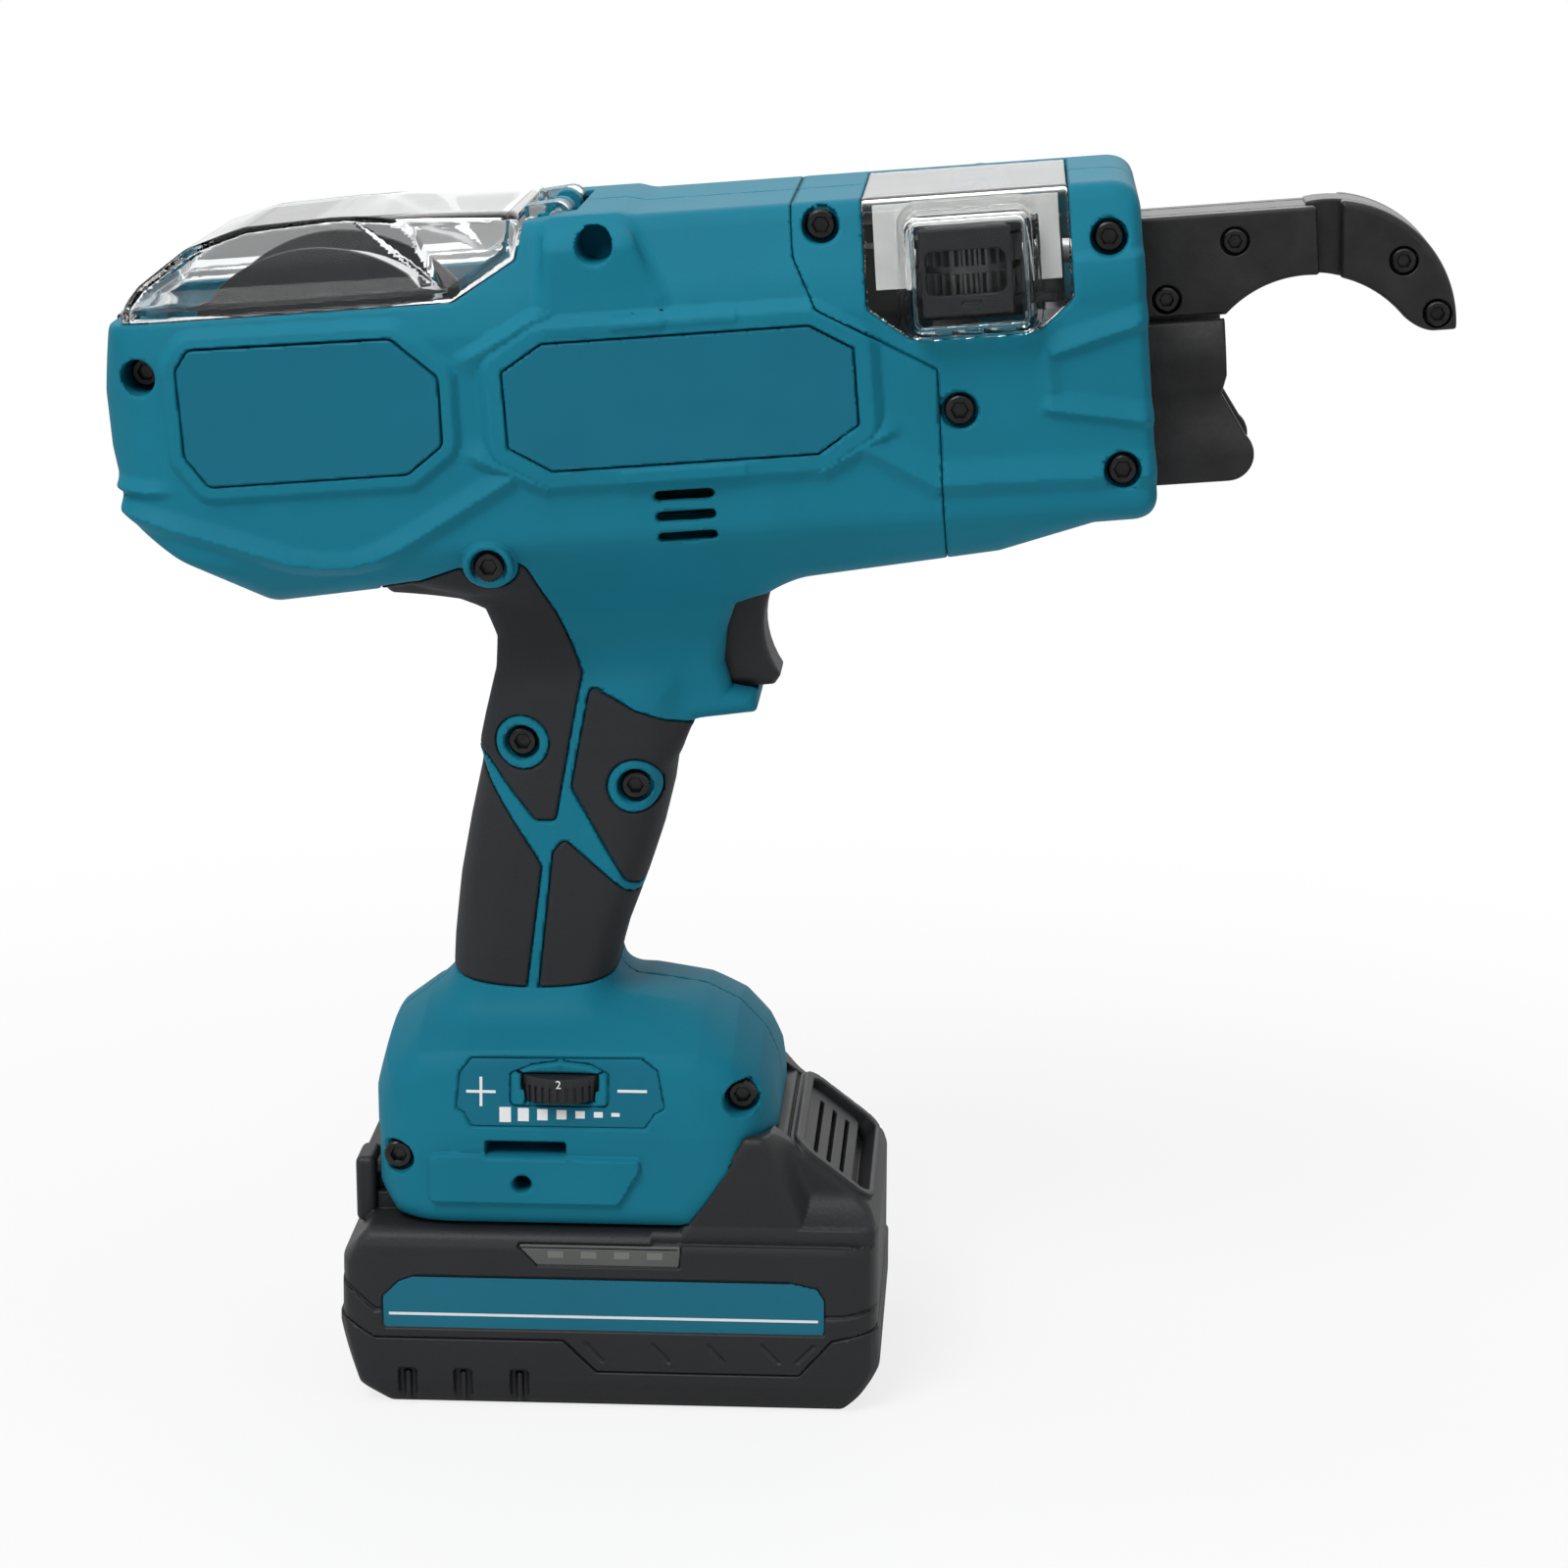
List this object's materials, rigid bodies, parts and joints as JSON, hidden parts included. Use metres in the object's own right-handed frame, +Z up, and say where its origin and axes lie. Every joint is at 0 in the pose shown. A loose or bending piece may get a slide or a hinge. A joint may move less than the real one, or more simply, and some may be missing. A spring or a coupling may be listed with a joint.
{
  "type": "rebar tying tool",
  "caption": "Cordless rebar tying tool: pistol grip, clear spool cover, geared wire feed, curl arm, twisting hooks, torque dial and slide-on battery.",
  "frame": {"origin": "on the floor plane under the battery foot, level with the middle of the battery", "axes": "+X towards the curl arm, +Y to the tool's left hand side, +Z up"},
  "size_m": [0.2837, 0.0884, 0.2682],
  "materials": {
    "teal_plastic": "satin moulded",
    "clear_plastic": "clear polished",
    "black_plastic": "fine texture",
    "rubber": "fine texture",
    "label": "smooth film",
    "black_steel": "black oxide",
    "steel": "bright",
    "dark_steel": "hardened",
    "alloy": "cast and machined",
    "brass": "machined",
    "board": "solder mask",
    "cell_wrap": "shrink film over a steel can"
  },
  "bodies": {
    "frame": {"main_housing_right": "teal_plastic", "main_housing_left": "teal_plastic", "head_housing_right": "teal_plastic", "head_housing_left": "teal_plastic", "cover_hinge_pin": "steel", "lever_axles": "steel", "spool_axle": "steel", "twist_motor": "steel", "ring_gear": "dark_steel", "shaft_bearing": "steel", "bearing_block": "alloy", "head_frame": "alloy", "arm_core": "black_steel", "arm_cheek_right": "black_steel", "arm_cheek_left": "black_steel", "tip_cheek_right": "black_steel", "tip_cheek_left": "black_steel", "arm_screws": "black_steel", "lower_guide": "black_steel", "feed_gearbox": "black_plastic", "feed_motor": "steel", "feed_bracket": "steel", "wire_nozzles": "steel", "feed_window": "clear_plastic", "trigger_switch": "black_plastic", "trigger_spring": "steel", "torque_pot": "steel", "control_board": "board", "label_plates": "label", "grip_pads_right": "rubber", "grip_pads_left": "rubber", "housing_screws": "black_steel", "tool_terminals": "black_plastic"},
    "rear_cover": {"rear_cover": "clear_plastic"},
    "cover_latch": {"cover_latch": "black_plastic"},
    "spool": {"wire_spool": "black_plastic", "wire_coil": "steel"},
    "spool_lock": {"spool_lock": "black_plastic"},
    "twister": {"twist_shaft": "steel", "jaw_pins": "steel"},
    "motor_pinion": {"motor_pinion": "brass"},
    "planet_1": {"planet_gear_1": "steel"},
    "planet_2": {"planet_gear_2": "steel"},
    "planet_3": {"planet_gear_3": "steel"},
    "jaw_sleeve": {"jaw_sleeve": "dark_steel"},
    "hook_upper": {"hook_jaw_upper": "dark_steel"},
    "hook_lower": {"hook_jaw_lower": "dark_steel"},
    "cutter_lever": {"cutter_lever": "dark_steel"},
    "feed_drive": {"feed_drive_gear": "dark_steel"},
    "idler_lever": {"idler_lever": "black_plastic"},
    "feed_idler": {"feed_idler_gear": "dark_steel"},
    "clutch_button": {"clutch_button": "black_plastic"},
    "trigger": {"trigger": "black_plastic"},
    "torque_dial": {"torque_dial": "black_plastic"},
    "battery": {"battery_top": "black_plastic", "battery_bottom": "black_plastic", "battery_trim": "label", "battery_cells": "cell_wrap", "battery_board": "board"},
    "battery_button": {"battery_button": "black_plastic"}
  },
  "joints": [
    {"name": "trigger_pull", "type": "slide", "parent": "frame", "child": "trigger", "axis": [-0.9971, 0, -0.0767], "range_m": [0, 0.006], "stiffness_N_per_m": 500, "springref_m": -0.004, "deforming": ["trigger_spring"]},
    {"name": "rear_cover_hinge", "type": "hinge", "parent": "frame", "child": "rear_cover", "pos_m": [-0.00945, 0, 0.25851], "axis": [0, 1, 0], "range_deg": [0, 100]},
    {"name": "cover_latch_press", "type": "hinge", "parent": "frame", "child": "cover_latch", "pos_m": [-0.1013, 0, 0.22436], "axis": [0, -1, 0], "range_deg": [0, 7], "stiffness_Nm_per_rad": 0.2, "springref_deg": -5.73},
    {"name": "spool_spin", "type": "hinge", "parent": "frame", "child": "spool", "pos_m": [-0.05893, 0, 0.21859], "axis": [0, 1, 0], "continuous": true},
    {"name": "spool_lock_pull", "type": "slide", "parent": "frame", "child": "spool_lock", "axis": [0, 1, 0], "range_m": [0, 0.012]},
    {"name": "torque_dial_turn", "type": "hinge", "parent": "frame", "child": "torque_dial", "pos_m": [-0.0096, -0.0254, 0.0728], "axis": [0, 0, 1], "range_deg": [-135, 135]},
    {"name": "battery_slide", "type": "slide", "parent": "frame", "child": "battery", "axis": [1, 0, 0], "range_m": [0, 0.1]},
    {"name": "battery_button_press", "type": "slide", "parent": "battery", "child": "battery_button", "axis": [0.7873, 0, -0.6166], "range_m": [0, 0.003], "stiffness_N_per_m": 500, "springref_m": -0.003},
    {"name": "twist_spin", "type": "hinge", "parent": "frame", "child": "twister", "pos_m": [-0.00234, 0, 0.21041], "axis": [0.9971, 0, 0.0767], "continuous": true},
    {"name": "pinion_spin", "type": "hinge", "parent": "frame", "child": "motor_pinion", "pos_m": [-0.00234, 0, 0.21041], "axis": [0.9971, 0, 0.0767], "continuous": true},
    {"name": "planet_1_spin", "type": "hinge", "parent": "twister", "child": "planet_1", "pos_m": [0.04253, 0.0108, 0.21386], "axis": [0.9971, 0, 0.0767], "continuous": true},
    {"name": "planet_2_spin", "type": "hinge", "parent": "twister", "child": "planet_2", "pos_m": [0.04181, -0.0054, 0.22319], "axis": [0.9971, 0, 0.0767], "continuous": true},
    {"name": "planet_3_spin", "type": "hinge", "parent": "twister", "child": "planet_3", "pos_m": [0.04324, -0.0054, 0.20454], "axis": [0.9971, 0, 0.0767], "continuous": true},
    {"name": "sleeve_slide", "type": "slide", "parent": "twister", "child": "jaw_sleeve", "axis": [0.9971, 0, 0.0767], "range_m": [0, 0.006]},
    {"name": "hook_upper_close", "type": "hinge", "parent": "twister", "child": "hook_upper", "pos_m": [0.11152, 0, 0.22318], "axis": [0, 1, 0], "range_deg": [0, 8.1]},
    {"name": "hook_lower_close", "type": "hinge", "parent": "twister", "child": "hook_lower", "pos_m": [0.11213, 0, 0.21521], "axis": [0, -1, 0], "range_deg": [0, 8.1]},
    {"name": "cutter_swing", "type": "hinge", "parent": "frame", "child": "cutter_lever", "pos_m": [0.09276, 0, 0.24531], "axis": [0, -1, 0], "range_deg": [0, 23]},
    {"name": "feed_spin", "type": "hinge", "parent": "frame", "child": "feed_drive", "pos_m": [0.07685, 0, 0.2501], "axis": [-0.0767, 0, 0.9971], "continuous": true},
    {"name": "clutch_press", "type": "slide", "parent": "frame", "child": "clutch_button", "axis": [0, -1, 0], "range_m": [0, 0.0025], "stiffness_N_per_m": 500, "springref_m": -0.003},
    {"name": "idler_lever_swing", "type": "hinge", "parent": "frame", "child": "idler_lever", "pos_m": [0.0928, -0.0225, 0.25133], "axis": [-0.0767, 0, 0.9971], "range_deg": [0, 10.3]},
    {"name": "idler_spin", "type": "hinge", "parent": "idler_lever", "child": "feed_idler", "pos_m": [0.07685, -0.0225, 0.2501], "axis": [-0.0767, 0, 0.9971], "continuous": true}
  ],
  "couplings": [
    {"joint": "pinion_spin", "follows": "twist_spin", "ratio": 4.5},
    {"joint": "planet_1_spin", "follows": "twist_spin", "ratio": -2.8},
    {"joint": "planet_2_spin", "follows": "twist_spin", "ratio": -2.8},
    {"joint": "planet_3_spin", "follows": "twist_spin", "ratio": -2.8},
    {"joint": "hook_upper_close", "follows": "sleeve_slide", "rad_per_m": 23.33},
    {"joint": "hook_lower_close", "follows": "sleeve_slide", "rad_per_m": 23.33},
    {"joint": "cutter_swing", "follows": "sleeve_slide", "rad_per_m": 66.67},
    {"joint": "idler_spin", "follows": "feed_spin", "ratio": -1},
    {"joint": "idler_lever_swing", "follows": "clutch_press", "rad_per_m": 71.4}
  ]
}
